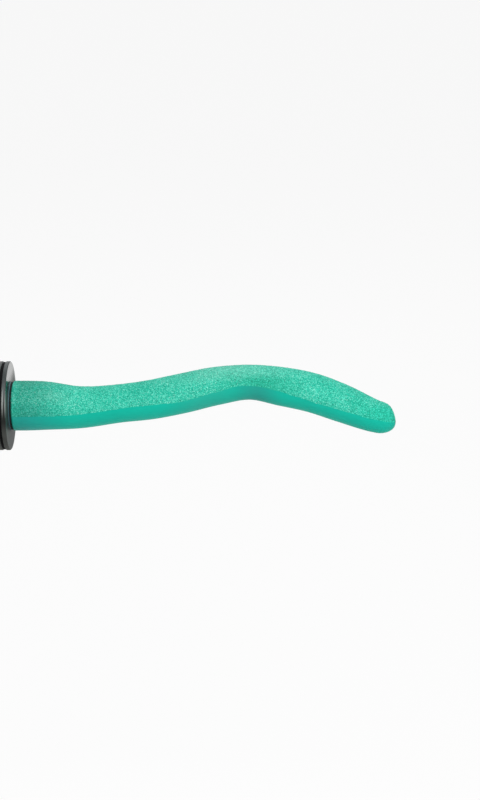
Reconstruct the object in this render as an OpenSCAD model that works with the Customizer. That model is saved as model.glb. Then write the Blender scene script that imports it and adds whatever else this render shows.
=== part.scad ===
// Clamp-on bird perch: a waved body of two bonded shells with a grit coat on its upper half,
// held to the wires of a cage by a bolt, two large washers and a wing nut.
// The origin is the centre of the clamping plane, which the cage wires bear on.
// +X runs along the bolt towards the tip of the perch, and +Z is up.

/* [Body] */
// Length of the body, from its mounting end to its tip
body_length = 215; // [160:1:300]
// Diameter of the body at its mounting end
body_d = 28; // [27:0.5:36]
// Rise of the hump's centreline above the bolt's axis
hump_rise = 14; // [0:0.5:20]
// Wall of the two shells
shell_wall = 2.6; // [2:0.1:3.2]
// Thickness of the grit coat on the upper shell
grit_thickness = 0.8; // [0.4:0.1:1.2]
// Length of the rounded tip
tip_round = 8.5; // [5:0.5:11]
// Bevel round the mounting end
end_bevel = 0.6; // [0.2:0.1:1]

/* [Shell joint and ribs] */
// Depth of the tongues that the upper shell puts down into the lower one
tongue_depth = 1.4; // [0.8:0.1:2.2]
// Bond line between parts that are glued together
bond_gap = 0.12; // [0.05:0.01:0.2]
// Thickness of each rib, along the body
rib_thickness = 1.8; // [1.2:0.1:3]
// Height of each rib, in from the wall
rib_height = 2.2; // [1:0.1:3]
// Diameter of the two posts that line the shells up
post_d = 6.4; // [5.4:0.1:8]
// Diameter of the pins on the lower posts
pin_d = 3; // [2:0.1:3.6]
// Height of the pins above the joint
pin_height = 2.4; // [1:0.1:3]

/* [End plug] */
// Diameter of the plug's barrel
plug_d = 19.2; // [17.4:0.1:20]
// Length of the barrel inside the body
plug_length = 22; // [18:0.5:28]
// Thickness of the plug's flange, with the groove between its rim and the body
flange_thickness = 1.6; // [1.2:0.1:3]
// Width of that groove, which reads as a dark line
groove_width = 0.5; // [0.2:0.1:0.7]
// Depth of that groove, in from the flange's rim
groove_depth = 1.4; // [0.5:0.1:2]
// Step from the body's rim in to the flange's rim
flange_step = 0.4; // [0.1:0.1:1]
// Diameter of the ring that holds the barrel in the body
ring_d = 22.4; // [21:0.1:23]
// Width of that ring
ring_width = 3; // [2:0.5:4]
// Distance from the body's end to that ring
ring_inset = 7; // [5:0.5:8]
// Height of the keys' step down from the ring
ring_depth = 0.6; // [0.2:0.1:1.2]
// Width of the two keys that stop the plug from turning
key_width = 4; // [3:0.5:6]
// Distance from the keys to the barrel's end
key_setback = 2; // [1:0.5:5]
// Wall of the body behind the plug
bulkhead = 2.4; // [1.6:0.1:4]

/* [Bolt] */
// Diameter of the bolt
bolt_d = 8; // [6:0.5:8]
// Reach of the bolt past the clamping plane
bolt_reach = 28; // [24:0.5:45]
// Width of the bolt's head across its flats
head_flats = 13; // [12:0.5:13.4]
// Height of the bolt's head
head_height = 5.3; // [4:0.1:6]
// Running clearance of the nut on the bolt, on the radius
thread_clearance = 0.05; // [0.03:0.01:0.1]
// Clearance of the bolt's shank and head in the plug
bolt_clearance = 0.1; // [0.05:0.01:0.2]

/* [Washers] */
// Diameter of the two steel washers
washer_d = 50; // [40:1:60]
// Thickness of each steel washer
washer_thickness = 2.5; // [1.5:0.1:4]
// Bevel round the edge of each steel washer
washer_bevel = 0.4; // [0.1:0.1:0.6]
// Thickness of the rubber washer
rubber_thickness = 1.5; // [0.6:0.1:3]
// Step from the steel washer's rim in to the rubber washer's rim
rubber_step = 0.4; // [0.1:0.1:2]
// Clearance of the washers on the bolt, on the radius
washer_clearance = 0.2; // [0.15:0.05:0.5]

/* [Wing nut] */
// Diameter of the hub where it bears on the washer
hub_d = 16; // [13.5:0.5:18]
// Height of the hub
hub_height = 8; // [6:0.5:11]
// Narrowing of the hub from its foot to its top, on the radius
hub_taper = 1.5; // [0.5:0.1:2]
// Span across the two wings
wing_span = 38; // [32:1:46]
// Height of the wings above the washer
wing_height = 18; // [14:0.5:22]
// Thickness of the wings
wing_thickness = 2.8; // [2:0.1:4]
// Radius of the rounded end of each wing
wing_round = 5.2; // [4:0.1:6]

/* [Hidden] */

// Overrun of a cut past the face that it opens
cut = 0.5;
// Bevels on the bolt's end, on the plug's flange and on the wing nut's hub
bolt_bevel = 0.8;
flange_bevel = 0.3;
hub_bevel = 0.6;
// Distance that the tongues stand back from the hollow
tongue_setback = 0.1;
// Distance from the tongues to the ends of the ribs
rib_clearance = 0.6;

// Places along the body, as shares of its length, with the rise of the centreline there as a share
// of the hump's rise, and the girth there as a share of the diameter at the mounting end
station_shares = [0, 0.04, 0.08, 0.17, 0.28, 0.36, 0.44, 0.53, 0.62, 0.70, 0.78, 0.86, 0.94, 1];
rise_shares = [0, 0, 0, -0.07, 0.10, 0.26, 0.52, 0.84, 1, 0.82, 0.55, 0.09, -0.425, -0.70];
girth_shares = [1, 0.997, 0.975, 0.85, 0.77, 0.79, 0.80, 0.765, 0.70, 0.775, 0.79, 0.76, 0.66, 0.58];
// Ribs and posts, as shares of the body's length
rib_shares = [0.2, 0.32, 0.44, 0.56, 0.68, 0.8, 0.9];
post_shares = [0.38, 0.74];
// Start of the wings, at the hub, as shares of the hub's height and of its foot's radius
wing_foot_share = 0.12;
wing_neck_share = 0.7;

// Rings along the body and round its tip, and sides of half a section, outside and inside
body_rings = 34;
tip_rings = 4;
outer_sides = 16;
inner_sides = 10;
// The last ring of the rounded tip, as an angle round it
tip_angle = 84;

// Faces along the bolt
inner_washer_x = rubber_thickness;
flange_x = inner_washer_x + washer_thickness;
body_x = flange_x + flange_thickness;
plug_end = body_x + plug_length;
head_x = plug_end - head_height;
head_corner = head_flats / 2 / cos(30);
top_r = hub_d / 2 - hub_taper;

// Smooth curve through the points (xs, ys)
function secant(i, xs, ys) = (ys[i + 1] - ys[i]) / (xs[i + 1] - xs[i]);
function slope(i, xs, ys) =
  i == 0 ? secant(0, xs, ys)
  : i == len(xs) - 1 ? secant(i - 1, xs, ys)
  : (secant(i, xs, ys) * (xs[i] - xs[i - 1]) + secant(i - 1, xs, ys) * (xs[i + 1] - xs[i]))
    / (xs[i + 1] - xs[i - 1]);
function piece(x, xs, i = 0) = i >= len(xs) - 2 || x <= xs[i + 1] ? i : piece(x, xs, i + 1);
function hermite(t, h, y0, y1, m0, m1) =
  y0 + t * (h * m0 + t * (3 * (y1 - y0) - h * (2 * m0 + m1) + t * (2 * (y0 - y1) + h * (m0 + m1))));
function curve(x, xs, ys) =
  let (i = piece(x, xs), h = xs[i + 1] - xs[i])
  hermite((x - xs[i]) / h, h, ys[i], ys[i + 1], slope(i, xs, ys), slope(i + 1, xs, ys));

// Share of the length where the surface that lies inset inside the body's own starts its tip
function tip_start(inset) = 1 - (inset + tip_round) / body_length;
// The joint between the shells follows the centreline in flat steps, the last one up to the tip
joint_end = tip_start(shell_wall);
joint_shares = concat([for (i = [0:body_rings]) joint_end * i / body_rings], [1]);
joint_line = [for (u = joint_shares) [u, hump_rise * curve(u, station_shares, rise_shares)]];
rise_step = joint_end / body_rings;

// Centreline of the body, the slant of its section and its radius, at a share u of its length: the
// sections follow the centreline's slant, and turn upright again over the rounded tip
function rise(u) = lookup(u, joint_line);
function centre(u) = [body_x + u * body_length, 0, rise(u)];
function slant(u) =
  let (a = max(0, u - rise_step), b = min(1, u + rise_step))
  atan2(rise(b) - rise(a), (b - a) * body_length) * (1 - pow(tip_share(u, 0), 2));
function girth(u) = body_d / 2 * curve(max(0, u), station_shares, girth_shares);
function tip_share(u, inset) = min(1, max(0, (u - tip_start(inset)) * body_length / tip_round));
function tip_scale(u, inset) = sqrt(1 - pow(tip_share(u, inset), 2));
function bevel(u, inset) = inset > 0 ? 0 : max(0, end_bevel - u * body_length);
function radius(u, inset) = (girth(u) - inset - bevel(u, inset)) * tip_scale(u, inset);

// Shares of the length for the rings from one place to the tip
function body_stations(from, to) =
  concat([from], [for (u = joint_shares) if (u > from && u < to) u], [to]);
function tip_stations(inset) = [
  for (i = [1:tip_rings])
    tip_start(inset) + sin(tip_angle * i / tip_rings) * tip_round / body_length
];
function stations(from, inset) = concat(body_stations(from, tip_start(inset)), tip_stations(inset));

// Point of the section at u, across by y and up by n
function place(u, y, n) = let (a = slant(u)) centre(u) + [-n * sin(a), y, n * cos(a)];
// Arc of the section at u: over the top where side is 1, round underneath where it is -1
function arc(u, r, side, sides, skip = 0) = [
  for (i = [0:sides])
    let (t = skip + (180 - 2 * skip) * i / sides)
    place(u, side * r * cos(t), side * r * sin(t))
];

// Solid through a list of rings that all have the same number of points
module loft(rings) {
  n = len(rings[0]);
  last = len(rings) - 1;
  sides = [
    for (i = [0:last - 1], j = [0:n - 1])
      let (a = i * n + j, b = i * n + (j + 1) % n)
      each [[a, b + n, b], [a, a + n, b + n]]
  ];
  polyhedron(
    [for (r = rings, p = r) p],
    concat([[for (j = [0:n - 1]) j]], sides, [[for (j = [n - 1:-1:0]) last * n + j]]),
    convexity = 6
  );
}

// Upper half of the body where side is 1 and lower half where it is -1, inside its surface by inset
module half_body(inset, side) {
  first = inset > 0 ? [] : [0];
  after = inset > 0 ? 0 : end_bevel / body_length;
  loft([for (u = concat(first, stations(after, inset))) arc(u, radius(u, inset), side, outer_sides)]);
}

// What is cut from such a half to leave a shell, from a place along it: it runs past the joint
module half_hollow(inset, side, from, sides) {
  loft([
    for (u = stations(from, inset))
      let (r = radius(u, inset))
      concat([place(u, side * r, -side * cut)], arc(u, r, side, sides), [place(u, -side * r, -side * cut)])
  ]);
}

// Bar along the wall on one side of the body, from radius a to radius b inside its surface
module wall_bar(side, a, b, low, high, grow) {
  from = (plug_length + bulkhead - grow) / body_length;
  to = joint_end + grow / body_length;
  loft([
    for (u = body_stations(from, to))
      let (ya = side * (girth(u) - a), yb = side * (girth(u) - b))
      [place(u, ya, low), place(u, yb, low), place(u, yb, high), place(u, ya, high)]
  ]);
}

// Tongues, where grow is 0, or the rebates that take them, where it is the bond line
module tongues(grow) {
  depth = tongue_depth + grow;
  middle = (shell_wall + grit_thickness) / 2 - grow;
  inside = grow > 0 ? shell_wall + cut : shell_wall - tongue_setback;
  wall_bar(1, inside, middle, -depth, cut, grow);
  wall_bar(-1, middle, inside, -depth, cut, grow);
}

// Rib across a shell, from the middle of its wall inwards
module rib(at, side) {
  half = rib_thickness / 2 / body_length;
  inner = girth(at) - shell_wall - rib_height;
  outer = girth(at) - (shell_wall + grit_thickness) / 2;
  skip = asin((tongue_depth + rib_clearance) / inner);
  near = arc(at - half, 1, side, inner_sides, skip);
  far = arc(at + half, 1, side, inner_sides, skip);
  // The arcs have a radius of one, and the rib's corners lie along them
  loft([
    for (i = [0:inner_sides])
      let (a = centre(at - half), b = centre(at + half), p = near[i] - a, q = far[i] - b)
      [a + inner * p, b + inner * q, b + outer * q, a + outer * p]
  ]);
}

// Upright post from the joint to the middle of a shell's wall
module post(at, side) {
  height = girth(at) - (shell_wall + grit_thickness) / 2;
  translate([centre(at)[0], 0, rise(at) - (side > 0 ? 0 : height)])
    cylinder(d = post_d, h = height, $fn = 32);
}

// Pin that a lower post carries, or the hole for it
module pin(at, grow) {
  translate([centre(at)[0], 0, rise(at) - cut])
    cylinder(d = pin_d + 2 * grow, h = cut + pin_height + grow, $fn = 24);
}

// Half of the body as a shell, closed at both ends, with its ribs and posts
module shell(inset, side) {
  difference() {
    half_body(inset, side);
    half_hollow(shell_wall, side, (plug_length + bulkhead) / body_length, inner_sides);
  }
  for (at = rib_shares) rib(at, side);
  for (at = post_shares) post(at, side);
}

// Turns a shape that stands on the plane z = 0 so that it stands on the plane at x, facing the tip
module along_bolt(x) {
  translate([x, 0, 0]) rotate([0, 90, 0]) children();
}

// Barrel of the end plug, with the ring and the keys that hold it, or the space for them
module barrel(grow) {
  along_bolt(body_x - flange_thickness / 2)
    cylinder(d = plug_d + 2 * grow, h = plug_length + flange_thickness / 2 + grow, $fn = 64);
  along_bolt(body_x + ring_inset - grow)
    cylinder(d = ring_d + 2 * grow, h = ring_width + 2 * grow, $fn = 64);
  translate([body_x + ring_inset, -key_width / 2 - grow, -ring_d / 2 + ring_depth / 2 - grow])
    cube([
      plug_length - ring_inset - key_setback + grow,
      key_width + 2 * grow,
      ring_d - ring_depth + 2 * grow
    ]);
}

module upper_shell() {
  color("mediumaquamarine") difference() {
    union() {
      shell(grit_thickness, 1);
      tongues(0);
    }
    barrel(bond_gap);
    for (at = post_shares) pin(at, bond_gap);
  }
}

module lower_shell() {
  color("lightseagreen") {
    difference() {
      shell(0, -1);
      tongues(bond_gap);
      barrel(bond_gap);
    }
    for (at = post_shares) pin(at, 0);
  }
}

module grit_coat() {
  color("turquoise") difference() {
    half_body(0, 1);
    half_hollow(grit_thickness, 1, -cut / body_length, outer_sides);
  }
}

module end_plug() {
  flange_r = body_d / 2 - flange_step;
  rim = flange_thickness - groove_width;
  color("slategray") difference() {
    union() {
      barrel(0);
      along_bolt(flange_x) rotate_extrude($fn = 96) polygon([
        [0, 0], [flange_r, 0], [flange_r, rim - flange_bevel], [flange_r - flange_bevel, rim],
        [flange_r - groove_depth, rim], [flange_r - groove_depth, flange_thickness],
        [0, flange_thickness]
      ]);
    }
    along_bolt(flange_x - cut)
      cylinder(r = bolt_d / 2 + bolt_clearance, h = plug_end - flange_x, $fn = 48);
    along_bolt(head_x)
      cylinder(r = head_corner + bolt_clearance, h = head_height + cut, $fn = 6);
  }
}

module mounting_bolt() {
  r = bolt_d / 2;
  shank = head_x + bolt_reach;
  head_bevel = (head_corner - head_flats / 2) * tan(30);
  color("silver") {
    along_bolt(-bolt_reach) rotate_extrude($fn = 48) polygon([
      [0, 0], [r - bolt_bevel, 0], [r, bolt_bevel], [r, shank + head_height / 2],
      [0, shank + head_height / 2]
    ]);
    along_bolt(head_x) intersection() {
      cylinder(r = head_corner, h = head_height, $fn = 6);
      rotate_extrude($fn = 48) polygon([
        [0, 0], [head_flats, 0], [head_flats, head_height - head_bevel * 2],
        [head_corner, head_height - head_bevel], [head_flats / 2, head_height], [0, head_height]
      ]);
    }
  }
}

// Flat ring with bevelled rims, standing on the plane at x
module washer(x, d, thickness, bevel) {
  r = d / 2;
  hole = bolt_d / 2 + washer_clearance;
  along_bolt(x) rotate_extrude($fn = 128) polygon([
    [hole, 0], [r - bevel, 0], [r, bevel], [r, thickness - bevel], [r - bevel, thickness],
    [hole, thickness]
  ]);
}

module inner_washer() {
  color("gray") washer(inner_washer_x, washer_d, washer_thickness, washer_bevel);
}

module rubber_washer() {
  color("black") washer(0, washer_d - 2 * rubber_step, rubber_thickness, rubber_thickness / 5);
}

module outer_washer() {
  color("gray") washer(-washer_thickness, washer_d, washer_thickness, washer_bevel);
}

// Outline of the two wings, standing on the hub's foot
module wings() {
  r = wing_round;
  tip = [wing_span / 2 - r, wing_height - r];
  foot = [top_r, hub_height * wing_foot_share];
  lean = atan2(tip[1] - foot[1], tip[0] - foot[0]);
  for (side = [0, 1]) mirror([side, 0]) polygon(concat(
    [[0, foot[1]], foot],
    [for (i = [0:12]) let (t = lean - 90 + 15 * i) tip + r * [cos(t), sin(t)]],
    [[top_r * wing_neck_share, hub_height], [0, hub_height]]
  ));
}

module wing_nut() {
  foot_r = hub_d / 2;
  color("lightgray") translate([-washer_thickness, 0, 0]) rotate([0, -90, 0]) difference() {
    union() {
      rotate_extrude($fn = 64) polygon([
        [0, 0], [foot_r - hub_bevel, 0], [foot_r, hub_bevel],
        [top_r, hub_height - hub_bevel], [top_r - hub_bevel, hub_height], [0, hub_height]
      ]);
      translate([0, wing_thickness / 2, 0]) rotate([90, 0, 0])
        linear_extrude(wing_thickness) wings();
    }
    translate([0, 0, -cut])
      cylinder(r = bolt_d / 2 + thread_clearance, h = wing_height + 2 * cut, $fn = 48);
  }
}

upper_shell();
lower_shell();
grit_coat();
end_plug();
mounting_bolt();
inner_washer();
rubber_washer();
outer_washer();
wing_nut();
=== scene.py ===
import math

import bmesh
import bpy
from mathutils import Euler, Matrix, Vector


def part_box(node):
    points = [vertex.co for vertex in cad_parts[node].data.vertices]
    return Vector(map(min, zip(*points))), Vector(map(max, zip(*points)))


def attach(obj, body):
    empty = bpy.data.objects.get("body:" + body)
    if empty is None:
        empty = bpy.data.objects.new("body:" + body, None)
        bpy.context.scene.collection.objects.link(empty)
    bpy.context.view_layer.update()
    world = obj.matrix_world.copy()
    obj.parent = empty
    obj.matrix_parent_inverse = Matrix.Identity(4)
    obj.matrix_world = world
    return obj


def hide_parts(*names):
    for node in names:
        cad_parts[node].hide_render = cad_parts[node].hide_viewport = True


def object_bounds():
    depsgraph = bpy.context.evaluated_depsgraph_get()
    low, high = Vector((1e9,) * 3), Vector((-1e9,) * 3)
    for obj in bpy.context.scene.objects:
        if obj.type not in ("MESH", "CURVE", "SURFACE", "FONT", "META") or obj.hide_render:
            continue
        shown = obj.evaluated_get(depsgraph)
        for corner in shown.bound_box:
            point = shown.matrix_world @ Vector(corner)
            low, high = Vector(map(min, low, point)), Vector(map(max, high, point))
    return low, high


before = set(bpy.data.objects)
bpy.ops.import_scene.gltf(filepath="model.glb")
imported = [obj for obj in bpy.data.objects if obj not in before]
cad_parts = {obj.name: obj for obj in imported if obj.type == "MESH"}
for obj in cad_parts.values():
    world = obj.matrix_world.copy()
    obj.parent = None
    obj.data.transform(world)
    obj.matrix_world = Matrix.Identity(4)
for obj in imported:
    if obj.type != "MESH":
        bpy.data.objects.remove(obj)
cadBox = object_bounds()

millimetre = 0.001

# Camera, in the photograph's frame of 480 by 800 pixels
view = {
    "elevation": 20.5,
    "distance": 983 * millimetre,
    "lens": 78.75,
    "sensor": 36,
    "target": (132.8 * millimetre, 0, 3.4 * millimetre),  # what the frame's centre shows
}


def addCamera():
    lift = math.radians(view["elevation"])
    data = bpy.data.cameras.new("photoCamera")
    data.lens = view["lens"]
    data.sensor_width = view["sensor"]
    camera = bpy.data.objects.new("photoCamera", data)
    away = Vector((0, -math.cos(lift), math.sin(lift))) * view["distance"]
    camera.location = Vector(view["target"]) + away
    camera.rotation_euler = Euler((math.radians(90) - lift, 0, 0))
    bpy.context.scene.collection.objects.link(camera)
    bpy.context.scene.camera = camera


addCamera()
print("camera set")


# Node trees

class Term:  # a socket's value, so that sums and products of values read as arithmetic
    def __init__(self, graph, socket):
        self.graph = graph
        self.socket = socket

    def __add__(self, other):
        return self.graph.calc("ADD", self, other)

    def __sub__(self, other):
        return self.graph.calc("SUBTRACT", self, other)

    def __rsub__(self, other):
        return self.graph.calc("SUBTRACT", other, self)

    def __mul__(self, other):
        return self.graph.calc("MULTIPLY", self, other)

    def __truediv__(self, other):
        return self.graph.calc("DIVIDE", self, other)

    def __rtruediv__(self, other):
        return self.graph.calc("DIVIDE", other, self)

    def __pow__(self, other):
        return self.graph.calc("POWER", self, other)

    def __abs__(self):
        return self.graph.calc("ABSOLUTE", self)

    def clamped(self):
        return self.graph.calc("ADD", self, 0, clamp=True)

    __radd__ = __add__
    __rmul__ = __mul__


class Graph:  # makes the nodes of one tree
    def __init__(self, tree):
        self.tree = tree

    def plug(self, value, socket):
        if isinstance(value, Term):
            value = value.socket
        if isinstance(value, bpy.types.NodeSocket):
            self.tree.links.new(value, socket)
        else:
            socket.default_value = value

    def node(self, kind, settings=None, values=None):
        made = self.tree.nodes.new(kind)
        for key, value in (settings or {}).items():
            if key == "steps":
                self.setSteps(made.color_ramp, value)
            else:
                setattr(made, key, value)
        for key, value in (values or {}).items():
            self.plug(value, made.inputs[key])
        return made

    def setSteps(self, ramp, steps):  # colours with hard edges between them
        ramp.interpolation = "CONSTANT"
        ramp.elements[0].position, ramp.elements[0].color = steps[0]
        ramp.elements[-1].position, ramp.elements[-1].color = steps[-1]
        for at, color in steps[1:-1]:
            ramp.elements.new(at).color = color

    def term(self, kind, settings=None, values=None, output=0):
        return Term(self, self.node(kind, settings, values).outputs[output])

    def calc(self, operation, *values, clamp=False):
        settings = {"operation": operation, "use_clamp": clamp}
        return self.term("ShaderNodeMath", settings, dict(enumerate(values)))

    def split(self, vector):  # X along the perch from the mount, Y across it and Z up
        apart = self.node("ShaderNodeSeparateXYZ", None, {0: vector})
        return [Term(self, socket) for socket in apart.outputs]

    def cells(self, place, size):  # each cell's random colour, and the distance from its middle
        values = {"Vector": place, "Scale": 1 / size}
        made = self.node("ShaderNodeTexVoronoi", {"feature": "F1"}, values)
        return made.outputs["Color"], Term(self, made.outputs["Distance"])


class Look(Graph):  # a material on the principled shader, with patterns in object coordinates
    def __init__(self, name, **shaderValues):
        self.material = bpy.data.materials.new(name)
        self.material.use_nodes = True
        super().__init__(self.material.node_tree)
        self.shader = self.tree.nodes["Principled BSDF"]
        self.place = self.term("ShaderNodeTexCoord", output="Object")
        for key, value in shaderValues.items():
            self.feed(key, value)

    def feed(self, key, value):
        self.plug(value, self.shader.inputs[key.replace("_", " ")])

    def noise(self, size, detail=2):
        values = {"Vector": self.place, "Scale": 1 / size, "Detail": detail}
        return self.term("ShaderNodeTexNoise", None, values)

    def randomOf(self, color):
        return self.term("ShaderNodeSeparateColor", None, {0: color})

    def mix(self, factor, first, second, blend="MIX"):
        settings = {"data_type": "RGBA", "blend_type": blend}
        return self.term("ShaderNodeMix", settings, {0: factor, 6: first, 7: second}, 2)

    def tint(self, factor, color, tone):
        return self.mix(factor, color, tone, "MULTIPLY")

    def bump(self, height, depth, strength):
        values = {"Height": height, "Distance": depth, "Strength": strength}
        self.feed("Normal", self.term("ShaderNodeBump", None, values))


def smoothStep(value):
    t = value.clamped()
    return t * t * (3 - 2 * t)


def rampOver(value, span):  # 0 up to the span's start, 1 from its end on
    start, end = span
    return ((value - start) / (end - start)).clamped()


def easeOver(value, span):  # the same with soft ends
    start, end = span
    return smoothStep((value - start) / (end - start))


def spotAt(value, spot):  # 1 at the spot's centre, down to 0 at its reach on either side
    centre, reach = spot
    return smoothStep(1 - abs(value - centre) / reach)


def paint(red, green, blue):  # a colour as a picture shows it, from 0 to 255
    linear = [
        c / 12.92 if c <= 0.04045 else ((c + 0.055) / 1.055) ** 2.4
        for c in (red / 255, green / 255, blue / 255)
    ]
    return (*linear, 1.0)


# Materials. A spot is a centre and a reach, and a span is a start and an end.

mountShade = {  # both halves are darker by the mount, less so right at the collar
    "collar": (6 * millimetre, 11 * millimetre),
    "fade": (11 * millimetre, 45 * millimetre),
    "atCollar": 0.5,
}


def shadeByMount(look, along, color, half):
    rise = rampOver(along, mountShade["collar"])
    start = mountShade["atCollar"] + rise * (1 - mountShade["atCollar"])
    fade = easeOver(along, mountShade["fade"])
    return look.tint(start * (1 - fade) * half["depth"], color, half["tone"])


grit = {
    "clumpSize": 0.72 * millimetre,
    "clumpHeight": 0.24 * millimetre,
    "fineSize": 0.24 * millimetre,
    "sink": 0.09 * millimetre,
    "domeSteepness": 2.2,
    "leastHeight": 0.4,  # of a clump, as a share of the highest one's
    "fineHeight": 0.35,
    "shine": 0.3,
    "speckSize": 0.42 * millimetre,
    "fineShare": 0.28,
    "driftSize": 14 * millimetre,
    "drift": 0.3,
    "tints": [  # each from a share of the specks upwards
        (0.0, paint(6, 138, 115)),
        (0.12, paint(18, 178, 149)),
        (0.38, paint(48, 206, 175)),
        (0.64, paint(96, 226, 199)),
        (0.9, paint(158, 240, 220)),
    ],
    # painted shade: each speck darkens towards its rim, as shade in the crevices between grains
    "creviceShade": {"from": 0.3, "steepness": 1.5, "depth": 0.55, "tone": paint(0, 112, 94)},
    "roughness": 0.85,
    "fineGloss": 0.3,
    "bumpDepth": 0.14 * millimetre,
    "bumpStrength": 0.8,
    "byMount": {"depth": 0.36, "tone": paint(20, 60, 60)},
    "sheen": {  # painted sheen, which pales the top of the coat at the hump
        "spot": (129 * millimetre, 46 * millimetre),
        "thinning": (6.5 * millimetre, 10 * millimetre),  # outwards from the middle plane
        "least": 0.035,
        "clouds": 0.07,
        "cloudSize": 9 * millimetre,
        "tone": paint(226, 232, 224),
    },
    "sideHighlight": {  # painted highlight, which lightens its sides near the mount
        "spot": (29 * millimetre, 16 * millimetre),
        "start": (5 * millimetre, 8 * millimetre),
        "end": (9.9 * millimetre, 12.4 * millimetre),
        "depth": 0.04,
    },
    "side": {  # of the coat, which comes nearer the middle plane at the nose
        "span": (5.3 * millimetre, 9.3 * millimetre),
        "nose": (205 * millimetre, 215 * millimetre),
        "noseShift": 5 * millimetre,
    },
    "hollow": {  # painted shade: the sides are darker past the hump's top
        "spot": (145 * millimetre, 30 * millimetre),
        "depth": 0.75,
        "tone": paint(89, 222, 212),
    },
    # painted shade along the coat's edges by the parting line, near the mount where the perch is
    # thickest
    "edge": {
        "span": (12.2 * millimetre, 13.4 * millimetre),
        "depth": 0.7,
        "tone": paint(180, 243, 243),
    },
    "tip": {  # the sides have a purer colour towards the tip
        "span": (186 * millimetre, 212 * millimetre),
        "depth": 0.8,
        "tone": paint(80, 242, 236),
    },
}


def gritSpecks(look, draw, fineDraw, distance):
    share, creviceShade = grit["fineShare"], grit["creviceShade"]
    drift = (look.noise(grit["driftSize"]) - 0.5) * grit["drift"]
    pick = (draw * (1 - share) + fineDraw * share + drift).clamped()
    tint = look.term("ShaderNodeValToRGB", {"steps": grit["tints"]}, {"Fac": pick})
    # painted crevice shade
    depth = ((distance - creviceShade["from"]) * creviceShade["steepness"]).clamped() * creviceShade["depth"]
    return look.mix(depth, tint, creviceShade["tone"])


def gritTones(look, along, outward, color):  # painted sheen and highlight, painted shade past the hump and along the edges, and the tip's purer colour
    sheen, sideHighlight, side = grit["sheen"], grit["sideHighlight"], grit["side"]
    thin = easeOver(outward, sheen["thinning"])
    clouds = sheen["least"] + look.noise(sheen["cloudSize"]) * sheen["clouds"]
    pale = spotAt(along, sheen["spot"]) * clouds * (1 - thin)
    band = easeOver(outward, sideHighlight["start"]) * (1 - easeOver(outward, sideHighlight["end"]))
    pale = pale + spotAt(along, sideHighlight["spot"]) * band * sideHighlight["depth"]
    color = look.mix(pale, color, sheen["tone"])
    nose = rampOver(along, side["nose"]) * side["noseShift"]
    sides = easeOver(outward + nose, side["span"])
    hollow, edge, tip = grit["hollow"], grit["edge"], grit["tip"]
    inHollowShade = spotAt(along, hollow["spot"]) * sides * hollow["depth"]
    color = look.tint(inHollowShade, color, hollow["tone"])
    color = look.tint(easeOver(outward, edge["span"]) * edge["depth"], color, edge["tone"])
    return look.tint(easeOver(along, tip["span"]) * sides * tip["depth"], color, tip["tone"])


def makeGritLook():
    look = Look("mineralGrit", Specular_IOR_Level=grit["shine"])
    color, distance = look.cells(look.place, grit["speckSize"])
    fineColor, fineDistance = look.cells(look.place, grit["fineSize"])
    fineDraw = look.randomOf(fineColor)
    specks = gritSpecks(look, look.randomOf(color), fineDraw, distance)
    along, across = look.split(look.place)[:2]
    toned = gritTones(look, along, abs(across), specks)
    look.feed("Base Color", shadeByMount(look, along, toned, grit["byMount"]))
    look.feed("Roughness", grit["roughness"] - fineDraw * grit["fineGloss"])
    look.bump(1 - fineDistance, grit["bumpDepth"], grit["bumpStrength"])
    return look.material


satin = {
    "shine": 0.14,
    "cloudSize": 26 * millimetre,
    "fleckSize": 1.1 * millimetre,
    "fleckShare": 0.25,
    "darker": 0.2,
    "tones": (paint(0, 172, 149), paint(10, 188, 165)),
    "recoloured": {  # greyer and duller before the hump and by the mount
        "spot": (114 * millimetre, 26 * millimetre),
        "fade": (6 * millimetre, 34 * millimetre),
        "least": 0.08,
        "clouds": 0.1,
        "tone": paint(90, 130, 130),
    },
    "hollow": {  # painted shade under the hump
        "spot": (142 * millimetre, 17 * millimetre),
        "depth": 0.42,
        "tone": paint(48, 118, 118),
    },
    "byMount": {"depth": 0.28, "tone": paint(20, 134, 196)},
    "roughness": 0.42,
    "fleckRoughness": 0.16,
    "bumpSize": 0.55 * millimetre,
    "bumpDepth": 0.03 * millimetre,
    "bumpStrength": 0.5,
}


def makeSatinLook():
    look = Look("satinTeal", Specular_IOR_Level=satin["shine"])
    along = look.split(look.place)[0]
    recoloured, hollow = satin["recoloured"], satin["hollow"]
    clouds = look.noise(satin["cloudSize"], 3)
    flecks = look.noise(satin["fleckSize"], 2)
    share = satin["fleckShare"]
    tone = (clouds * (1 - share) + flecks * share - satin["darker"]).clamped()
    color = look.mix(tone, *satin["tones"])
    where = spotAt(along, recoloured["spot"]) + 1 - easeOver(along, recoloured["fade"])
    color = look.mix(where * (recoloured["least"] + clouds * recoloured["clouds"]), color, recoloured["tone"])
    color = look.mix(spotAt(along, hollow["spot"]) * hollow["depth"], color, hollow["tone"])
    look.feed("Base Color", shadeByMount(look, along, color, satin["byMount"]))
    look.feed("Roughness", satin["roughness"] + flecks * satin["fleckRoughness"])
    look.bump(look.noise(satin["bumpSize"], 3), satin["bumpDepth"], satin["bumpStrength"])
    return look.material


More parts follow.
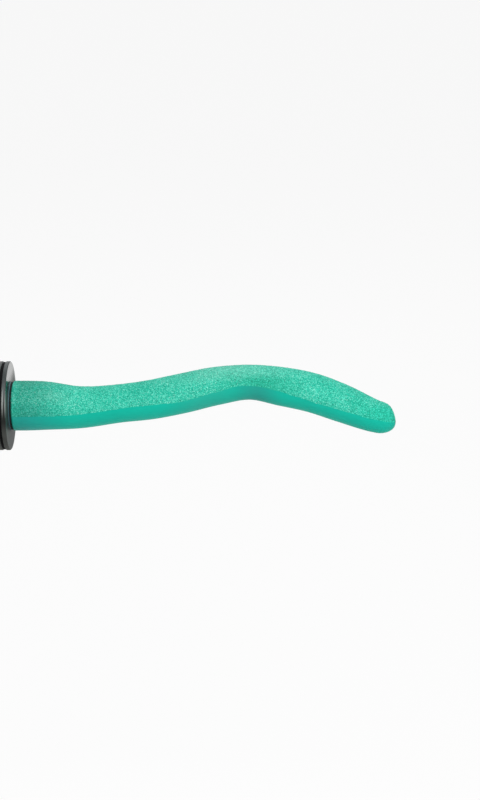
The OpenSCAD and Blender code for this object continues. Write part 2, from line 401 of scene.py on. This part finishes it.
moulded = {  # plastic and rubber
    "inner": {
        "name": "mouldedTeal",
        "tones": (paint(60, 176, 152), paint(82, 196, 172)),
        "roughness": 0.5,
        "shine": 0.5,
        "grooveShade": None,
    },
    "plug": {
        "name": "slateNylon",
        "tones": (paint(44, 84, 94), paint(57, 98, 108)),
        "roughness": 0.42,
        "shine": 0.5,
        "grooveShade": (4.5 * millimetre, 4.55 * millimetre),  # painted shade of the groove, dark from here along the perch on
    },
    "rubber": {
        "name": "blackRubber",
        "tones": (paint(3, 3, 4), paint(9, 9, 10)),
        "roughness": 0.75,
        "shine": 0.08,
        "grooveShade": None,
    },
    "cloudSize": 7 * millimetre,
    "grainSize": 0.8 * millimetre,
    "grainRoughness": 0.14,
    "bumpSize": 0.3 * millimetre,
    "bumpDepth": 0.03 * millimetre,
    "bumpStrength": 0.6,
    "grooveShadeTone": paint(6, 12, 16),
    "grooveShadeRoughness": 0.45,
}


def makeMouldedLook(finish):
    look = Look(finish["name"], Specular_IOR_Level=finish["shine"])
    color = look.mix(look.noise(moulded["cloudSize"], 4), *finish["tones"])
    roughness = finish["roughness"]
    # painted shade in and beside the groove
    if finish["grooveShade"]:
        inGrooveShade = rampOver(look.split(look.place)[0], finish["grooveShade"])
        color = look.mix(inGrooveShade, color, moulded["grooveShadeTone"])
        roughness = roughness + inGrooveShade * moulded["grooveShadeRoughness"]
    look.feed("Base Color", color)
    grain = look.noise(moulded["grainSize"]) * moulded["grainRoughness"]
    look.feed("Roughness", roughness + grain)
    look.bump(look.noise(moulded["bumpSize"], 3), moulded["bumpDepth"], moulded["bumpStrength"])
    return look.material


turned = {  # the steel washers. Radii and heights are from the bolt's axis.
    "tones": (paint(66, 70, 70), paint(104, 106, 102)),
    "ringSize": 0.16 * millimetre,
    "ringSlant": 1.7,  # gives each face rings of its own
    "cloudSize": 8 * millimetre,
    "rim": (24.5 * millimetre, 24.7 * millimetre),
    # painted shade: the washers are darker and rougher towards the bottom, in random clouds
    "shadeBelow": {"level": 0.35, "fall": 30 * millimetre, "clouds": 0.5, "depth": 0.3},
    "face": {"clouds": 0.5, "rings": 0.5},
    # painted shade: the rim is darker towards the top
    "rimTone": {"level": 0.3, "fall": 40 * millimetre, "rings": 0.2},
    # darker round the middle height of the rim
    "middleDark": {"heights": (0.7 * millimetre, 10 * millimetre), "depth": 0.7},
    "darkTone": paint(22, 24, 22),
    "repeat": (0.5 * millimetre, 4.5 * millimetre),  # along the bolt, one washer in each
    # painted shade: a dark line round each washer's rim
    "paintedShadeLine": {
        "spot": (3.2 * millimetre, 0.45 * millimetre),
        "heights": (6 * millimetre, 11 * millimetre),
        "depth": 0.6,
    },
    "highlight": {  # painted highlights: lines on the rim and along its inner edge
        "spot": (2.4 * millimetre, 0.42 * millimetre),
        "edge": (3.6 * millimetre, 3.75 * millimetre),
        "edgeRadii": (21 * millimetre, 24 * millimetre),
        "heights": (9.5 * millimetre, 9 * millimetre),
        "depth": 0.75,
        "tone": paint(165, 168, 166),
    },
    "scuffed": {"heights": (7 * millimetre, 12 * millimetre), "roughness": 0.3},
    "roughness": {"least": 0.1, "rings": 0.1, "shadeBelow": 0.45, "rim": 0.34},
    "bumpDepth": 0.02 * millimetre,
    "bumpStrength": 0.35,
}


def makeTurnedSteelLook():
    look = Look("turnedSteel", Metallic=1.0)
    along, across, up = look.split(look.place)
    radius = (across * across + up * up) ** 0.5
    rings = look.term(
        "ShaderNodeTexNoise", {"noise_dimensions": "1D"},
        {"W": radius + along * turned["ringSlant"], "Scale": 1 / turned["ringSize"], "Detail": 3},
    )
    clouds = look.noise(turned["cloudSize"], 4)
    rim = rampOver(radius, turned["rim"])
    dull, face, rimTone = turned["shadeBelow"], turned["face"], turned["rimTone"]
    shadeBelow = (dull["level"] - up / dull["fall"] + clouds * dull["clouds"]).clamped()
    onFace = clouds * face["clouds"] + rings * face["rings"] - shadeBelow * dull["depth"]
    onRim = rimTone["level"] - up / rimTone["fall"] + rings * rimTone["rings"]
    color = look.mix((onFace + (onRim - onFace) * rim).clamped(), *turned["tones"])
    middleDark, lineShade, highlight = turned["middleDark"], turned["paintedShadeLine"], turned["highlight"]
    darkened = spotAt(up, middleDark["heights"]) * rim * middleDark["depth"]
    color = look.mix(darkened, color, turned["darkTone"])
    low, high = turned["repeat"]
    within = look.calc("WRAP", along, high, low)
    lineShaded = spotAt(within, lineShade["spot"]) * rim * spotAt(up, lineShade["heights"]) * lineShade["depth"]
    color = look.mix(lineShaded, color, turned["darkTone"])
    lines = spotAt(within, highlight["spot"]) * rim
    lines = lines + rampOver(within, highlight["edge"]) * rampOver(radius, highlight["edgeRadii"])
    recoloured = lines * spotAt(up, highlight["heights"]) * highlight["depth"]
    look.feed("Base Color", look.mix(recoloured, color, highlight["tone"]))
    rough, scuffed = turned["roughness"], turned["scuffed"]
    level = rough["least"] + rings * rough["rings"] + shadeBelow * rough["shadeBelow"] + rim * rough["rim"]
    scuffs = spotAt(up, scuffed["heights"]) * (1 - rim) * scuffed["roughness"]
    look.feed("Roughness", level + scuffs)
    look.bump(rings, turned["bumpDepth"], turned["bumpStrength"])
    return look.material


cast = {  # the plated bolt and nut
    "bolt": {
        "name": "zincedSteel",
        "tones": (paint(158, 160, 162), paint(192, 193, 192)),
        "roughness": 0.26,
    },
    "nut": {
        "name": "castZinc",
        "tones": (paint(150, 151, 152), paint(184, 185, 184)),
        "roughness": 0.36,
    },
    "metallic": 0.9,
    "cloudSize": 5 * millimetre,
    "grainSize": 0.5 * millimetre,
    "grainShare": 0.3,
    "grainRoughness": 0.22,
    "bumpDepth": 0.05 * millimetre,
    "bumpStrength": 0.5,
}


def makeCastLook(finish):
    look = Look(finish["name"], Metallic=cast["metallic"])
    grains = look.noise(cast["grainSize"], 3)
    share = cast["grainShare"]
    tone = (look.noise(cast["cloudSize"], 4) * (1 - share) + grains * share).clamped()
    look.feed("Base Color", look.mix(tone, *finish["tones"]))
    look.feed("Roughness", finish["roughness"] + grains * cast["grainRoughness"])
    look.bump(grains, cast["bumpDepth"], cast["bumpStrength"])
    return look.material


looks = {
    "grit": makeGritLook(),
    "satin": makeSatinLook(),
    "inner": makeMouldedLook(moulded["inner"]),
    "plug": makeMouldedLook(moulded["plug"]),
    "rubber": makeMouldedLook(moulded["rubber"]),
    "steel": makeTurnedSteelLook(),
    "bolt": makeCastLook(cast["bolt"]),
    "nut": makeCastLook(cast["nut"]),
}
print("materials made")


# Meshes

doublesWithin = 0.001 * millimetre
sliversWithin = 0.0001 * millimetre


def addPiece(name, points, faces, look):
    mesh = bpy.data.meshes.new(name)
    mesh.from_pydata(points, [], faces)
    mesh.materials.append(look)
    piece = bpy.data.objects.new(name, mesh)
    bpy.context.scene.collection.objects.link(piece)
    return piece


def closeUp(piece, sharpAngle=35):  # merges doubles, turns every face outwards and shades smooth
    work = bmesh.new()
    work.from_mesh(piece.data)
    bmesh.ops.remove_doubles(work, verts=work.verts, dist=doublesWithin)
    bmesh.ops.dissolve_degenerate(work, edges=work.edges, dist=sliversWithin)
    bmesh.ops.recalc_face_normals(work, faces=work.faces)
    work.to_mesh(piece.data)
    work.free()
    piece.data.shade_smooth()
    piece.data.set_sharp_from_angle(angle=math.radians(sharpAngle))


def loopFaces(first, second, count):  # quads between two closed loops of points
    return [
        (first + j, first + (j + 1) % count, second + (j + 1) % count, second + j)
        for j in range(count)
    ]


def runNodes(piece, tree, inputs):  # applies a geometry tree and keeps a plain mesh
    modifier = piece.modifiers.new(tree.name, "NODES")
    modifier.node_group = tree
    for item in tree.interface.items_tree:
        if item.in_out == "INPUT" and item.name in inputs:
            modifier[item.identifier] = inputs[item.name]
    bpy.context.view_layer.update()
    ready = piece.evaluated_get(bpy.context.evaluated_depsgraph_get())
    made = bpy.data.meshes.new_from_object(ready)
    piece.modifiers.remove(modifier)
    old = piece.data
    piece.data = made
    bpy.data.meshes.remove(old)


def newGeometryTree(name, sizes):  # with an input for each size, beside geometry and material
    tree = bpy.data.node_groups.new(name, "GeometryNodeTree")
    inputs = [("Geometry", "NodeSocketGeometry")]
    inputs += [(size, "NodeSocketFloat") for size in sizes]
    inputs.append(("Material", "NodeSocketMaterial"))
    for label, kind in inputs:
        tree.interface.new_socket(name=label, in_out="INPUT", socket_type=kind)
    tree.interface.new_socket(name="Geometry", in_out="OUTPUT", socket_type="NodeSocketGeometry")
    graph = Graph(tree)
    sockets = graph.node("NodeGroupInput").outputs
    return graph, {label: Term(graph, sockets[label]) for label, kind in inputs}


def finishTree(graph, given, direction, amount):  # moves the points and dresses the result
    offset = graph.term(
        "ShaderNodeVectorMath", {"operation": "SCALE"}, {0: direction, "Scale": amount}
    )
    values = {"Geometry": given["Geometry"], "Offset": offset}
    moved = graph.term("GeometryNodeSetPosition", None, values)
    whole = graph.term("GeometryNodeRealizeInstances", None, {"Geometry": moved})
    values = {"Geometry": whole, "Material": given["Material"]}
    dressed = graph.term("GeometryNodeSetMaterial", None, values)
    graph.node("NodeGroupOutput", None, {"Geometry": dressed})
    return graph.tree


# The waved body

body = {
    "flange": 1.6 * millimetre,  # of the plug, which the body starts behind
    "length": 215 * millimetre,
    "endRadius": 14 * millimetre,
    "humpRise": 14 * millimetre,
    "wall": 2.6 * millimetre,
    "coat": 0.8 * millimetre,
    "tipRound": 8.5 * millimetre,
    "lastRing": 88.5,  # degrees round the tip, before its pole
    "endBevel": 0.6 * millimetre,
    "slantShare": 0.028,  # of the length, on either side of where a section's slant is taken
    "stationShares": [0, 0.04, 0.08, 0.17, 0.28, 0.36, 0.44, 0.53, 0.62, 0.70, 0.78, 0.86, 0.94, 1],
    "riseShares": [0, 0, 0, -0.07, 0.10, 0.26, 0.52, 0.84, 1, 0.82, 0.55, 0.09, -0.425, -0.70],
    "girthShares": [
        1, 0.997, 0.975, 0.85, 0.77, 0.79, 0.80, 0.765, 0.70, 0.775, 0.79, 0.76, 0.66, 0.58,
    ],
    "dips": [  # how far the coat reaches below the middle plane, in degrees at a share of the length
        (0, 6), (0.1, 5.5), (0.15, 1.5), (0.2, -2), (0.33, -5), (0.385, -2), (0.43, 4), (0.47, 3.5),
        (0.53, -1), (0.59, -9), (0.63, -7), (0.69, -4), (0.73, 2), (0.79, 8.5), (0.85, 3.5),
        (0.91, -2.5), (0.96, -9), (1, -12),
    ],
}
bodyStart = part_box("end_plug")[0].x + body["flange"]
straightFrom = 1 - (body["wall"] + body["tipRound"]) / body["length"]


def secant(i, ys):
    xs = body["stationShares"]
    return (ys[i + 1] - ys[i]) / (xs[i + 1] - xs[i])


def slopeAt(i, ys):
    xs = body["stationShares"]
    if i in (0, len(xs) - 1):
        return secant(0 if i == 0 else i - 1, ys)
    before, after = xs[i] - xs[i - 1], xs[i + 1] - xs[i]
    return (secant(i, ys) * before + secant(i - 1, ys) * after) / (before + after)


def curveAt(u, ys):  # the smooth curve through the stations
    xs = body["stationShares"]
    i = max(j for j in range(len(xs) - 1) if j == 0 or xs[j] < u)
    h = xs[i + 1] - xs[i]
    t = (u - xs[i]) / h
    m0, m1, step = h * slopeAt(i, ys), h * slopeAt(i + 1, ys), ys[i + 1] - ys[i]
    return ys[i] + t * (m0 + t * (3 * step - 2 * m0 - m1 + t * (m0 + m1 - 2 * step)))


def riseAt(u):
    shares = body["riseShares"]
    if u <= straightFrom:
        return body["humpRise"] * curveAt(u, shares)
    t = (u - straightFrom) / (1 - straightFrom)
    return body["humpRise"] * ((1 - t) * curveAt(straightFrom, shares) + t * shares[-1])


def slantAt(u):  # the sections turn upright again over the rounded tip
    low, high = max(0, u - body["slantShare"]), min(1, u + body["slantShare"])
    slant = math.atan2(riseAt(high) - riseAt(low), (high - low) * body["length"])
    return slant * (1 - min(1, tipSine(u, 0)) ** 2)


def tipSine(u, inset):  # how far round the tip u is, from 0 at its start to 1 at its end
    start = 1 - (inset + body["tipRound"]) / body["length"]
    return max(0, (u - start) * body["length"] / body["tipRound"])


def radiusAt(u, inset):
    bevel = max(0, body["endBevel"] - u * body["length"]) if inset < body["coat"] else 0
    plain = body["endRadius"] * curveAt(u, body["girthShares"]) - inset - bevel
    return plain * math.sqrt(max(0, 1 - min(1, tipSine(u, inset)) ** 2))


def dipAt(u):
    for (low, first), (high, second) in zip(body["dips"], body["dips"][1:]):
        if u <= high:
            t = (u - low) / (high - low)
            return math.radians(first + (second - first) * t * t * (3 - 2 * t))


def turnsOf(u, side, count):  # the angles of a half ring's points, from one edge to the other
    start = -side * dipAt(u)
    return [start + (math.pi - 2 * start) * i / count for i in range(count + 1)]


def ringOf(u, radius, side, count):
    slant = slantAt(u)
    points = []
    for t in turnsOf(u, side, count):
        across, up = side * radius * math.cos(t), side * radius * math.sin(t)
        x = bodyStart + u * body["length"] - up * math.sin(slant)
        points.append((x, across, riseAt(u) + up * math.cos(slant)))
    return points


def bodyStations(pitch, tipRings):
    tipStart = 1 - body["tipRound"] / body["length"]
    bevelEnd = body["endBevel"] / body["length"]
    count = round((tipStart - bevelEnd) * body["length"] / pitch)
    along = [0] + [bevelEnd + (tipStart - bevelEnd) * i / count for i in range(count + 1)]
    last = math.radians(body["lastRing"])
    turns = [math.sin(last * i / tipRings) for i in range(1, tipRings + 1)]
    return along + [tipStart + s * (1 - tipStart) for s in turns]


def addHalfBody(name, side, inset, detail, look):  # side is 1 for the upper half, -1 for the lower
    outer, inner = detail["sides"], detail["innerSides"]
    loop = outer + inner + 2
    points, faces, skin, outward = [], [], [], []
    stations = bodyStations(detail["pitch"], detail["tipRings"])
    for u in stations:
        slant = slantAt(u)
        bend = math.asin(min(1, tipSine(u, 0)))
        for t, point in zip(turnsOf(u, side, outer), ringOf(u, radiusAt(u, 0), side, outer)):
            across, up = side * math.cos(t) * math.cos(bend), side * math.sin(t) * math.cos(bend)
            points.append(point)
            skin.append(1.0)
            outward.append((
                math.sin(bend) * math.cos(slant) - up * math.sin(slant),
                across,
                math.sin(bend) * math.sin(slant) + up * math.cos(slant),
            ))
        points += reversed(ringOf(u, radiusAt(u, inset), side, inner))
        skin += [0.0] * (inner + 1)
        outward += [(0.0, 0.0, 0.0)] * (inner + 1)
    for i in range(len(stations) - 1):
        faces += loopFaces(i * loop, (i + 1) * loop, loop)
    faces.append(tuple(range(loop)))
    pole = len(points)
    points.append(ringOf(1, 0, side, 1)[0])
    skin.append(0.0)
    outward.append((0.0, 0.0, 0.0))
    last = pole - loop
    faces += [(last + j, last + (j + 1) % loop, pole) for j in range(loop)]
    piece = addPiece(name, points, faces, look)
    piece.data.attributes.new("skin", "FLOAT", "POINT").data.foreach_set("value", skin)
    flat = [c for vector in outward for c in vector]
    piece.data.attributes.new("outward", "FLOAT_VECTOR", "POINT").data.foreach_set("vector", flat)
    closeUp(piece)
    return piece


def dropAttributes(piece, *names):
    for name in names:
        piece.data.attributes.remove(piece.data.attributes[name])


def makeGrainTree():
    sizes = ["Clump Size", "Fine Size", "Clump Height", "Sink"]
    graph, given = newGeometryTree("gritGrains", sizes)
    position = graph.term("GeometryNodeInputPosition")
    color, distance = graph.cells(position, given["Clump Size"])
    draw = graph.term("FunctionNodeSeparateColor", None, {0: color}, 1)
    dome = (1 - distance * distance * grit["domeSteepness"]).clamped() ** 0.5
    values = {"Vector": position, "Scale": 1 / given["Fine Size"], "Detail": 1.0}
    fine = graph.term("ShaderNodeTexNoise", None, values)
    share = draw * (1 - grit["leastHeight"]) + grit["leastHeight"]
    height = given["Clump Height"] * (dome * share + (fine - 0.5) * grit["fineHeight"])
    skin, outward = (
        graph.term("GeometryNodeInputNamedAttribute", {"data_type": kind}, {"Name": name})
        for name, kind in (("skin", "FLOAT"), ("outward", "FLOAT_VECTOR"))
    )
    return finishTree(graph, given, outward, (height - given["Sink"]) * skin)


coatDetail = {"pitch": 0.34 * millimetre, "sides": 120, "innerSides": 16, "tipRings": 40}
coat = addHalfBody("gritCoat", 1, body["coat"], coatDetail, looks["grit"])
runNodes(coat, makeGrainTree(), {
    "Clump Size": grit["clumpSize"],
    "Fine Size": grit["fineSize"],
    "Clump Height": grit["clumpHeight"],
    "Sink": grit["sink"],
    "Material": looks["grit"],
})
dropAttributes(coat, "skin", "outward")
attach(coat, "perch")
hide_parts("grit_coat")
print("grit coat made:", len(coat.data.polygons), "faces")

shellDetail = {"pitch": 1.2 * millimetre, "sides": 64, "innerSides": 24, "tipRings": 20}
lowerShell = addHalfBody("lowerShell", -1, body["wall"], shellDetail, looks["satin"])
dropAttributes(lowerShell, "skin", "outward")
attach(lowerShell, "perch")
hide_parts("lower_shell")
print("lower shell made")


# Bolt and wing nut

bolt = {
    "radius": 4 * millimetre,
    "pitch": 1.25 * millimetre,
    "depth": 0.7 * millimetre,
    "steepness": 1.25,  # of the groove's flanks
    "crest": 0.12,
    "threadLength": 30 * millimetre,
    "headHeight": 5.3 * millimetre,
    "headFlats": 13 * millimetre,
    "headBevelShare": 0.07 / 3,  # of the flats
    "headBevelSegments": 2,
    "bevel": 0.8 * millimetre,
    "sides": 40,
    "stepsPerTurn": 10,
    "sharpAngle": 50,
    "leastRadius": 0.001 * millimetre,  # keeps the thread's sum from a division by nought
}


def addRod(name, stations, sides, look):  # a round bar along X through (x, radius) pairs
    points, faces = [], []
    for x, radius in stations:
        for j in range(sides):
            turn = 2 * math.pi * j / sides
            points.append((x, radius * math.cos(turn), radius * math.sin(turn)))
    for i in range(len(stations) - 1):
        faces += loopFaces(i * sides, (i + 1) * sides, sides)
    faces.append(tuple(range(sides)))
    faces.append(tuple(range((len(stations) - 1) * sides, len(stations) * sides)))
    return addPiece(name, points, faces, look)


def makeThreadTree():
    graph, given = newGeometryTree("boltThread", ["Pitch", "Depth", "Start", "End"])
    along, across, up = graph.split(graph.term("GeometryNodeInputPosition"))
    turn = graph.calc("ARCTAN2", up, across) / (2 * math.pi)
    phase = graph.calc("PINGPONG", along / given["Pitch"] - turn, 0.5) * 2
    groove = (phase * bolt["steepness"] - bolt["crest"]).clamped()
    fadeIn = ((along - given["Start"]) / given["Pitch"]).clamped()
    fadeOut = ((given["End"] - along) / given["Pitch"]).clamped()
    radius = (across * across + up * up) ** 0.5
    cut = groove * fadeIn * fadeOut * given["Depth"] / (radius + bolt["leastRadius"])
    inward = graph.term("ShaderNodeCombineXYZ", None, {"X": 0.0, "Y": across * -1, "Z": up * -1})
    return finishTree(graph, given, inward, cut)


def addHexHead(name, start, look):
    corner = bolt["headFlats"] / 2 / math.cos(math.radians(30))
    points = []
    for x in (start, start + bolt["headHeight"]):
        for j in range(6):
            turn = math.radians(60 * j)
            points.append((x, corner * math.cos(turn), corner * math.sin(turn)))
    faces = loopFaces(0, 6, 6) + [tuple(range(6)), tuple(range(6, 12))]
    head = addPiece(name, points, faces, look)
    closeUp(head)
    bevel = head.modifiers.new("edges", "BEVEL")
    bevel.width = bolt["headBevelShare"] * bolt["headFlats"]
    bevel.segments = bolt["headBevelSegments"]
    return head


def joinInto(target, others):  # puts the finished meshes of others into target's
    bpy.context.view_layer.update()
    graph = bpy.context.evaluated_depsgraph_get()
    work = bmesh.new()
    for piece in [target, *others]:
        mesh = bpy.data.meshes.new_from_object(piece.evaluated_get(graph))
        work.from_mesh(mesh)
        bpy.data.meshes.remove(mesh)
    work.to_mesh(target.data)
    work.free()
    target.modifiers.clear()
    for piece in others:
        bpy.data.objects.remove(piece)


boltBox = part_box("mounting_bolt")
boltEnd, headEnd = boltBox[0].x, boltBox[1].x
headStart = headEnd - bolt["headHeight"]
threadEnd = boltEnd + bolt["threadLength"]
ringCount = round(bolt["threadLength"] / bolt["pitch"] * bolt["stepsPerTurn"])
bevelEnd = boltEnd + bolt["bevel"]
rings = [boltEnd + bolt["threadLength"] * i / ringCount for i in range(ringCount + 1)]
clear = bolt["threadLength"] / ringCount / 3  # no ring comes closer than this to the bevel
rodStations = [(boltEnd, bolt["radius"] - bolt["bevel"]), (bevelEnd, bolt["radius"])]
rodStations += [(x, bolt["radius"]) for x in rings if x > bevelEnd + clear]
rodStations.append((headStart + bolt["bevel"], bolt["radius"]))
rod = addRod("mountingBolt", rodStations, bolt["sides"], looks["bolt"])
runNodes(rod, makeThreadTree(), {
    "Pitch": bolt["pitch"],
    "Depth": bolt["depth"],
    "Start": boltEnd,
    "End": threadEnd,
    "Material": looks["bolt"],
})
closeUp(rod, bolt["sharpAngle"])
head = addHexHead("boltHead", headStart, looks["bolt"])
joinInto(rod, [head])
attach(rod, "perch")
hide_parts("mounting_bolt")
print("bolt made")

nut = {
    "footRadius": 8 * millimetre,
    "topRadius": 6.5 * millimetre,
    "hubHeight": 8 * millimetre,
    "hubBevel": 0.7 * millimetre,
    "sides": 64,
    "boreRadius": 4.05 * millimetre,
    "boreFlare": 1.7 * millimetre,  # how much wider the bore is outside its ends
    "boreBevel": 0.7 * millimetre,
    "boreSides": 48,
    "overrun": 1 * millimetre,
    "rootThickness": 3.4 * millimetre,
    "tipThickness": 2.5 * millimetre,
    "footShare": 0.12,  # of the hub's height, where the wings start
    "neckShare": 0.7,  # of the hub's top radius, where they end
    "wingRound": 5.2 * millimetre,
    "roundSteps": 20,
    "voxel": 0.26 * millimetre,
    "softness": 0.5,
    "softRounds": 9,
    "sharpAngle": 62,
}


def wingOutline(span, height):  # half of it, from the foot out round the tip and back to the hub
    r = nut["wingRound"]
    tip = Vector((span / 2 - r, height - r))
    foot = Vector((nut["topRadius"], nut["footShare"] * nut["hubHeight"]))
    lean = math.atan2(tip.y - foot.y, tip.x - foot.x)
    outline = [Vector((0, foot.y)), foot]
    for i in range(nut["roundSteps"] + 1):
        turn = lean - math.pi / 2 + math.pi * i / nut["roundSteps"]
        outline.append(tip + r * Vector((math.cos(turn), math.sin(turn))))
    neck = Vector((nut["topRadius"] * nut["neckShare"], nut["hubHeight"]))
    return [*outline, neck, Vector((0, nut["hubHeight"]))]


def addWings(name, face, span, height, look):  # both wings as one slab that thins outwards
    ring = wingOutline(span, height)
    n = len(ring)
    points, faces = [], []
    for side in (1, -1):
        start = len(points)
        for half in (1, -1):
            for p in ring:
                reach = min(1, p.x / (span / 2))
                thick = nut["rootThickness"] + (nut["tipThickness"] - nut["rootThickness"]) * reach
                points.append((face - p.y, half * thick / 2, side * p.x))
        faces += loopFaces(start, start + n, n)
        faces += [tuple(range(start, start + n)), tuple(range(start + n, start + 2 * n))]
    piece = addPiece(name, points, faces, look)
    closeUp(piece)
    return piece


def softenCasting(piece):  # melts overlapping solids into one skin with soft corners
    remesh = piece.modifiers.new("skin", "REMESH")
    remesh.mode = "VOXEL"
    remesh.voxel_size = nut["voxel"]
    smooth = piece.modifiers.new("soften", "SMOOTH")
    smooth.factor = nut["softness"]
    smooth.iterations = nut["softRounds"]
    joinInto(piece, [])


def boreOut(piece, cutter):
    cut = piece.modifiers.new("bore", "BOOLEAN")
    cut.operation = "DIFFERENCE"
    cut.solver = "EXACT"
    cut.object = cutter
    split = piece.modifiers.new("split", "TRIANGULATE")  # so that closeUp finds the slivers
    split.min_vertices = 5
    joinInto(piece, [])
    bpy.data.objects.remove(cutter)


nutLow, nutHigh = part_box("wing_nut")
nutFace = nutHigh.x
nutTop = nutFace - nut["hubHeight"]
hub = addRod("wingNut", [
    (nutFace, nut["footRadius"] - nut["hubBevel"]),
    (nutFace - nut["hubBevel"], nut["footRadius"]),
    (nutTop + nut["hubBevel"], nut["topRadius"]),
    (nutTop, nut["topRadius"] - nut["hubBevel"]),
], nut["sides"], looks["nut"])
closeUp(hub)
wings = addWings("wings", nutFace, nutHigh.z - nutLow.z, nutFace - nutLow.x, looks["nut"])
joinInto(hub, [wings])
softenCasting(hub)
flareRadius = nut["boreRadius"] + nut["boreFlare"]
boreTool = addRod("boreTool", [
    (nutFace + nut["overrun"], flareRadius),
    (nutFace - nut["boreBevel"], nut["boreRadius"]),
    (nutTop + nut["boreBevel"], nut["boreRadius"]),
    (nutTop - nut["overrun"], flareRadius),
    (nutLow.x - nut["overrun"], flareRadius),
], nut["boreSides"], looks["nut"])
closeUp(boreTool)
boreOut(hub, boreTool)
closeUp(hub, nut["sharpAngle"])
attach(hub, "nut")
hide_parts("wing_nut")
print("wing nut made:", len(hub.data.polygons), "faces")


# The carried-over solids get their materials

def dress(node, look):
    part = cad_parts[node]
    part.data.materials.clear()
    part.data.materials.append(look)


dress("upper_shell", looks["inner"])
dress("end_plug", looks["plug"])
dress("inner_washer", looks["steel"])
dress("outer_washer", looks["steel"])
dress("rubber_washer", looks["rubber"])
print("solids dressed")


# Floor, lamps and world

room = {
    "floorDrop": 0.3,  # below the perch's lowest point
    "floorSize": 40,
    "floorTone": (0.86, 0.86, 0.86, 1),
    "floorRoughness": 0.9,
    "floorGlow": 0.9,  # how much of it shows as plain white
    "white": (1, 1, 1, 1),
    "ambient": 0.32,
    "lamps": {  # place, size and power
        "keyLamp": ((0.15, -0.95, 1.15), 0.9, 15),
        "fillLamp": ((0.95, -0.9, 0.35), 0.8, 5),
        "backLamp": ((0.2, 1.0, 0.9), 0.8, 5),
    },
    "aim": (0.09, 0, 0),
}


def seenDirectly(graph):  # 1 for rays that show the background itself
    rays = graph.node("ShaderNodeLightPath").outputs
    camera, glossy, through = (
        Term(graph, rays[name])
        for name in ("Is Camera Ray", "Is Glossy Ray", "Is Transmission Ray")
    )
    return (camera + glossy + through).clamped()


def addFloor():
    half, height = room["floorSize"] / 2, cadBox[0][2] - room["floorDrop"]
    look = Look("paleFloor", Roughness=room["floorRoughness"])
    look.feed("Base Color", room["floorTone"])
    glow = look.term("ShaderNodeEmission", None, {"Color": room["white"], "Strength": 1.0})
    shown = look.term(
        "ShaderNodeMixShader", None,
        {0: seenDirectly(look) * room["floorGlow"], 1: look.shader.outputs[0], 2: glow},
    )
    look.plug(shown, look.tree.nodes["Material Output"].inputs["Surface"])
    corners = [(x * half, y * half, height) for x, y in ((-1, -1), (1, -1), (1, 1), (-1, 1))]
    addPiece("floor", corners, [(0, 1, 2, 3)], look.material)


def addLamps():
    for name, (place, size, power) in room["lamps"].items():
        data = bpy.data.lights.new(name, "AREA")
        data.size = size
        data.energy = power
        lamp = bpy.data.objects.new(name, data)
        lamp.location = place
        toAim = Vector(room["aim"]) - Vector(place)
        lamp.rotation_euler = toAim.to_track_quat("-Z", "Y").to_euler()
        bpy.context.scene.collection.objects.link(lamp)


def setWorld():
    world = bpy.data.worlds.new("softRoom")
    bpy.context.scene.world = world
    world.use_nodes = True
    graph = Graph(world.node_tree)
    strength = room["ambient"] + seenDirectly(graph) * (1 - room["ambient"])
    sky = world.node_tree.nodes["Background"]
    graph.plug(room["white"], sky.inputs["Color"])
    graph.plug(strength, sky.inputs["Strength"])


addFloor()
addLamps()
setWorld()
bpy.context.scene.view_settings.view_transform = "Standard"
print("room made")
